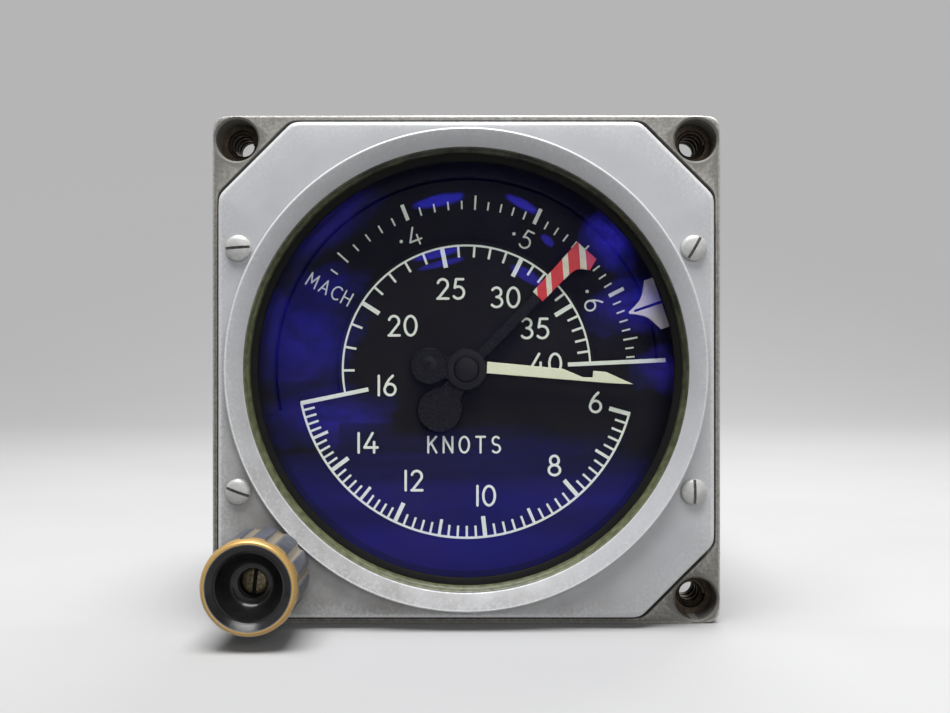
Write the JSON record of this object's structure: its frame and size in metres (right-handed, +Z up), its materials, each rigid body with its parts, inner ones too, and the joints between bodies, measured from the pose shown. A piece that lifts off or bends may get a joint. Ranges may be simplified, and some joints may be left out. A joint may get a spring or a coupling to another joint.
{
  "type": "airspeed indicator",
  "caption": "Panel-mounted aircraft airspeed indicator with a knots dial, turning Mach scale, striped limit pointer, speed bug and setting knob.",
  "frame": {"origin": "on the dial axis, in the plane of the flange's front face, which meets the panel", "axes": "+X to the viewer's right, +Z up, +Y rearwards from the dial to the pressure unions"},
  "size_m": [0.0826, 0.1324, 0.0826],
  "materials": {
    "cast_grey": "cast, dull, handled",
    "bezel_grey": "satin light grey enamel",
    "screw_steel": "plated, worn slots",
    "shaft_steel": "ground",
    "link_aluminium": "sheet, milled",
    "brass": "machined",
    "capsule_bronze": "rolled bronze",
    "glass": "blue anti-reflection coat",
    "seal_olive": "olive sealing compound",
    "gasket_black": "flat gasket",
    "inner_black": "matt black",
    "dial_black": "matt black",
    "print_pale": "pale screen print",
    "pointer_cream": "cream enamel",
    "limit_red": "red and white stripes",
    "bug_white": "matt white",
    "knob_black": "black finish worn to brass at the edges"
  },
  "bodies": {
    "case": {"case_body": "cast_grey", "thread_inserts": "brass", "rear_cover": "cast_grey", "rear_cover_seal": "gasket_black", "rear_cover_screws": "screw_steel", "pitot_union": "brass", "static_union": "brass", "bezel": "bezel_grey", "bezel_screws": "screw_steel", "glass": "glass", "glass_seal": "seal_olive", "glass_keeper": "inner_black", "knob_bush": "brass", "main_dial": "dial_black", "dial_scale": "print_pale", "dial_ring": "inner_black", "dial_ring_screws": "screw_steel", "front_plate": "brass", "front_bush": "brass", "rear_plate": "brass", "spindle_bush": "brass", "frame_pillars": "shaft_steel", "plate_screws": "screw_steel", "airspeed_capsule": "capsule_bronze", "capsule_bracket": "link_aluminium", "bracket_screws": "screw_steel", "pitot_pipe": "capsule_bronze", "aneroid_stack": "capsule_bronze", "hairspring": "brass"},
    "speed_bug": {"bug_ring": "inner_black", "speed_bug": "bug_white"},
    "knob": {"knob": "knob_black", "knob_shaft": "shaft_steel", "bug_pinion": "brass", "knob_screw": "screw_steel"},
    "mach_disc": {"mach_disc": "dial_black", "mach_scale": "print_pale", "mach_sleeve": "brass"},
    "airspeed_pointer": {"airspeed_pointer": "pointer_cream", "pointer_hub": "dial_black", "pointer_spindle": "shaft_steel"},
    "limit_pointer": {"limit_head": "limit_red", "limit_arm": "dial_black", "limit_sleeve": "brass"},
    "airspeed_sector": {"airspeed_sector": "brass", "airspeed_arbor": "shaft_steel", "airspeed_crank": "shaft_steel"},
    "airspeed_link": {"airspeed_link": "link_aluminium"},
    "altitude_sector": {"mach_sector": "brass", "limit_sector": "brass", "altitude_arbor": "shaft_steel", "altitude_crank": "shaft_steel"},
    "altitude_link": {"altitude_link": "link_aluminium"}
  },
  "joints": [
    {"name": "airspeed_pointer_turn", "type": "hinge", "parent": "case", "child": "airspeed_pointer", "pos_m": [0, 0, 0], "axis": [0, 1, 0], "range_deg": [0, 352]},
    {"name": "airspeed_sector_turn", "type": "hinge", "parent": "case", "child": "airspeed_sector", "pos_m": [-0.02049, 0, 0.02259], "axis": [0, 1, 0], "range_deg": [-38.5, 0]},
    {"name": "airspeed_link_rise", "type": "slide", "parent": "case", "child": "airspeed_link", "axis": [0, 0, 1], "range_m": [0, 0.002], "deforming": ["airspeed_capsule"]},
    {"name": "mach_disc_turn", "type": "hinge", "parent": "case", "child": "mach_disc", "pos_m": [0, 0, 0], "axis": [0, 1, 0], "range_deg": [-100, 20]},
    {"name": "limit_pointer_turn", "type": "hinge", "parent": "case", "child": "limit_pointer", "pos_m": [0, 0, 0], "axis": [0, 1, 0], "range_deg": [-80.2, 16.1]},
    {"name": "altitude_sector_turn", "type": "hinge", "parent": "case", "child": "altitude_sector", "pos_m": [0.02049, 0, 0.02259], "axis": [0, 1, 0], "range_deg": [-4, 19.7]},
    {"name": "altitude_link_rise", "type": "slide", "parent": "case", "child": "altitude_link", "axis": [0, 0, 1], "range_m": [-0.0003, 0.0011], "deforming": ["aneroid_stack"]},
    {"name": "bug_turn", "type": "hinge", "parent": "case", "child": "speed_bug", "pos_m": [0, 0, 0], "axis": [0, 1, 0], "continuous": true},
    {"name": "knob_turn", "type": "hinge", "parent": "case", "child": "knob", "pos_m": [-0.03168, 0, -0.03168], "axis": [0, 1, 0], "continuous": true}
  ],
  "couplings": [
    {"joint": "airspeed_sector_turn", "follows": "airspeed_pointer_turn", "ratio": -0.10909},
    {"joint": "airspeed_link_rise", "follows": "airspeed_pointer_turn", "m_per_rad": 0.00032119},
    {"joint": "limit_pointer_turn", "follows": "mach_disc_turn", "ratio": 0.80065},
    {"joint": "altitude_sector_turn", "follows": "mach_disc_turn", "ratio": -0.19608},
    {"joint": "altitude_link_rise", "follows": "mach_disc_turn", "m_per_rad": -0.00058412},
    {"joint": "knob_turn", "follows": "bug_turn", "ratio": -5.2222}
  ]
}
